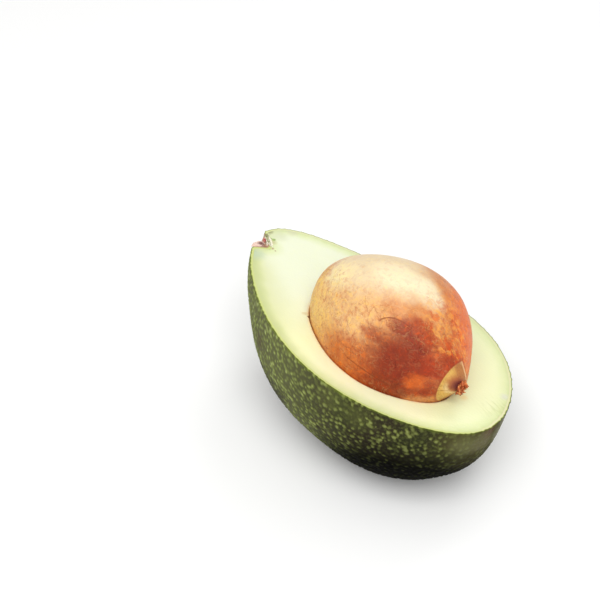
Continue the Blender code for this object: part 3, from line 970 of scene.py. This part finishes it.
def flesh_finish():
    finish = Finish(
        "flesh", Subsurface_Weight=0.2, Subsurface_Radius=(0.003, 0.003, 0.0016), Subsurface_Scale=1.0
    )
    place = finish.attribute("own_place", "Vector")
    along = finish.part(place, "X")
    across = finish.part(place, "Y")
    from_peel = finish.attribute("from_peel")
    from_seed = finish.attribute("from_seed")
    broad = finish.clouds(place, 12.0, detail=3.0)
    fine = finish.clouds(place, 1.5, detail=3.0)
    depth = finish.plus(from_peel, finish.times(finish.clouds(place, 5.0, detail=2.0), 2.0))
    near = finish.ramp(across, *NEAR_SIDE)

    toward_blossom = finish.ramp(finish.plus(along, finish.times(broad, 20.0)), *BLOSSOM_FADE)
    colour = finish.blend(toward_blossom, STEM_END_CREAM, BLOSSOM_END_CREAM)
    # Painted light: the face in front of the seed, where the seed shades it, is painted paler.
    near_face_light = finish.times(finish.ramp(finish.minus(along, across), *NEAR_FACE_LIGHT_FADE), near)
    colour = finish.blend(near_face_light, colour, NEAR_FACE_PAINTED_LIGHT)
    colour = finish.blend(finish.ramp(depth, *UNDER_PEEL_DEPTH, 0.85, 0.0), colour, UNDER_PEEL)
    colour = finish.blend(finish.ramp(depth, *AGAINST_PEEL_DEPTH, 0.5, 0.0), colour, AGAINST_PEEL)
    near_left = finish.times(near, finish.ramp(along, *LEFT_SIDE))
    left_face = finish.times(near_left, finish.ramp(depth, *LEFT_FACE_DEPTH, 0.75, 0.0))
    colour = finish.blend(left_face, colour, LEFT_FACE)
    left_edge = finish.times(near_left, finish.ramp(depth, *LEFT_EDGE_DEPTH, 0.9, 0.0))
    colour = finish.blend(left_edge, colour, LEFT_EDGE)
    ragged = finish.strayed(place, 1.5, 0.7)
    colour = finish.patches(colour, ragged, FACE_PATCHES)

    stretched = finish.tree.nodes.new("ShaderNodeVectorMath")
    stretched.operation = "MULTIPLY"
    stretched.inputs[1].default_value = FIBRE_STRETCH
    finish.put(place, stretched.inputs[0])
    fibres = finish.ramp(finish.clouds(stretched.outputs[0], 1.2, detail=2.0), 0.50, 0.62)
    at_end = finish.ramp(finish.distance(place, FIBRES_MIDDLE), 2.0, 9.0, 0.35, 0.0)
    colour = finish.blend(finish.times(fibres, at_end), colour, FIBRES)

    # The near side of the hollow's rim is painted warmer: a wide pale band and a thin darker line.
    ragged_rim = finish.plus(from_seed, finish.times(finish.minus(fine, 0.5), 0.9))
    near_side = finish.ramp(across, *RIM_LINE_SIDE, 0.4, 1.0)
    blush = finish.times(finish.ramp(ragged_rim, *BLUSH_WIDTH, 0.5, 0.0), near_side)
    colour = finish.blend(blush, colour, RIM_BLUSH)
    rim_line = finish.times(finish.ramp(ragged_rim, *RIM_LINE_WIDTH, 0.9, 0.0), near_side)
    colour = finish.blend(rim_line, colour, RIM_WARM_LINE)
    colour = finish.patches(colour, ragged, RIM_PATCHES)
    finish.put(colour, finish.shader.inputs["Base Color"])

    finish.put(finish.ramp(fine, 0.3, 0.7, 0.34, 0.48), finish.shader.inputs["Roughness"])
    finish.put(finish.bump(finish.clouds(place, 0.8, detail=3.0), 0.00005), finish.shader.inputs["Normal"])
    return finish


new_piece("moist_flesh", flesh_mesh(), flesh_finish(), "flesh")

# The flake of stalk is what stayed behind when the stalk was pulled off: a pale, ragged crust on the near
# lip of the notch, dark where it broke. A thin skin has dried over the far wall, with a red fleck on it.
FLAKE_STEPS = 24
FLAKE_LUMPS = 2.5
FLAKE_CRUMBS = 6.0
FLAKE_CRUMB_SHARE = 0.6
FLAKE_VARIETY = 900


def flake(middle, half_size, angle, ragged):
    """A ragged scale that stands on edge in the notch and was cut through with the fruit."""
    bm = ball(FLAKE_STEPS)
    for vert in bm.verts:
        direction = vert.co.copy()
        lumps = noise.noise(direction * FLAKE_LUMPS)
        crumbs = FLAKE_CRUMB_SHARE * noise.noise(direction * FLAKE_CRUMBS + middle * FLAKE_VARIETY)
        vert.co = direction * half_size * (1 + ragged * (lumps + crumbs))
    bm.transform(Matrix.Translation(middle) @ Matrix.Rotation(angle, 4, "Z"))
    cut_at(bm, 0.0)
    bmesh.ops.edgeloop_fill(bm, edges=[edge for edge in bm.edges if edge.is_boundary])
    own_place = bm.verts.layers.float_vector.new("own_place")
    for vert in bm.verts:
        vert[own_place] = vert.co * MILLIMETRES
    return bm


def dried_finish(name, pale, dark, dark_middle, dark_reach):
    """A dry papery finish, dark round one place and pale elsewhere."""
    finish = Finish(name, Roughness=0.75, Specular_IOR_Level=0.3)
    place = finish.attribute("own_place", "Vector")
    grain = finish.clouds(place, 0.8, detail=4.0, rough=0.65)
    away = finish.distance(finish.strayed(place, 1.0, 0.6), dark_middle)
    broken = finish.ramp(away, 0.3 * dark_reach, dark_reach, 0.8, 0.0)
    share = finish.plus(broken, finish.ramp(grain, 0.45, 0.7, 0.0, 0.3))
    finish.put(finish.blend(share, pale, dark), finish.shader.inputs["Base Color"])
    finish.put(finish.bump(grain, 0.0003), finish.shader.inputs["Normal"])
    return finish


crust = flake(
    middle=Vector((-0.0456, -0.0085, 0.0)), half_size=Vector((0.0019, 0.0012, 0.0022)),
    angle=radians(92), ragged=0.45,
)
crust_finish = dried_finish(
    "dried_stalk", pale=paint(240, 208, 192), dark=paint(104, 52, 46),
    dark_middle=(-45.5, -7.7, 0.0), dark_reach=1.5,
)
new_piece("stalk_flake", crust, crust_finish, "stem_stub")

dried_skin = flake(
    middle=Vector((-0.0463, -0.0042, 0.0)), half_size=Vector((0.0036, 0.0009, 0.0030)),
    angle=radians(-22), ragged=0.30,
)
skin_finish = dried_finish(
    "notch_skin", pale=paint(246, 240, 214), dark=paint(160, 160, 112),
    dark_middle=(-49.3, -3.0, 0.0), dark_reach=2.6,
)
new_piece("notch_skin", dried_skin, skin_finish)

fleck = flake(
    middle=Vector((-0.0470, -0.0052, 0.0)), half_size=Vector((0.0009, 0.0005, 0.0010)),
    angle=radians(-35), ragged=0.30,
)
fleck_finish = dried_finish(
    "red_fleck", pale=paint(226, 150, 138), dark=paint(150, 52, 50),
    dark_middle=(-46.7, -5.3, 0.0), dark_reach=0.8,
)
new_piece("red_fleck", fleck, fleck_finish)

# A pale table top in a bright white room, with three wide soft lights over it. The strongest is above the
# camera. Weak ones behind the fruit and on its left fill in the shaded sides.
FLOOR_HALF_SIZE = 2.0
FLOOR_TOP = -0.0001
TABLE_WHITE = paint(250, 250, 249)
LIGHT_AIM = Vector((-0.008, 0.0, 0.035))
ROOM_WHITE = (1.0, 1.0, 1.0, 1.0)
ROOM_LIGHT = 0.55


def soft_light(name, place, width, length, watts):
    """A soft panel that faces the fruit."""
    lamp = bpy.data.lights.new(name, "AREA")
    lamp.shape = "RECTANGLE"
    lamp.size = width
    lamp.size_y = length
    lamp.energy = watts
    panel = bpy.data.objects.new(name, lamp)
    panel.location = place
    aim = LIGHT_AIM - Vector(place)
    panel.rotation_euler = aim.to_track_quat("-Z", "Y").to_euler()
    bpy.context.scene.collection.objects.link(panel)


table_top = bmesh.new()
bmesh.ops.create_grid(table_top, x_segments=1, y_segments=1, size=FLOOR_HALF_SIZE)
bmesh.ops.translate(table_top, verts=table_top.verts[:], vec=(0, 0, FLOOR_TOP))
floor_mesh = bpy.data.meshes.new("table_top")
table_top.to_mesh(floor_mesh)
table_top.free()
floor_paint = Finish("table_top", Base_Color=TABLE_WHITE, Roughness=0.9)
floor_mesh.materials.append(floor_paint.material)
table = bpy.data.objects.new("table_top", floor_mesh)
bpy.context.scene.collection.objects.link(table)

soft_light("back_panel", place=(-0.17, 0.39, 0.50), width=0.32, length=0.22, watts=0.65)
soft_light("left_panel", place=(-0.45, -0.38, 0.62), width=0.60, length=0.60, watts=0.7)
soft_light("front_panel", place=(0.34, -0.28, 0.66), width=0.60, length=0.60, watts=4.4)

world = bpy.data.worlds.new("room")
world.use_nodes = True
world.node_tree.nodes["Background"].inputs["Color"].default_value = ROOM_WHITE
world.node_tree.nodes["Background"].inputs["Strength"].default_value = ROOM_LIGHT
bpy.context.scene.world = world
bpy.context.scene.view_settings.view_transform = "Standard"
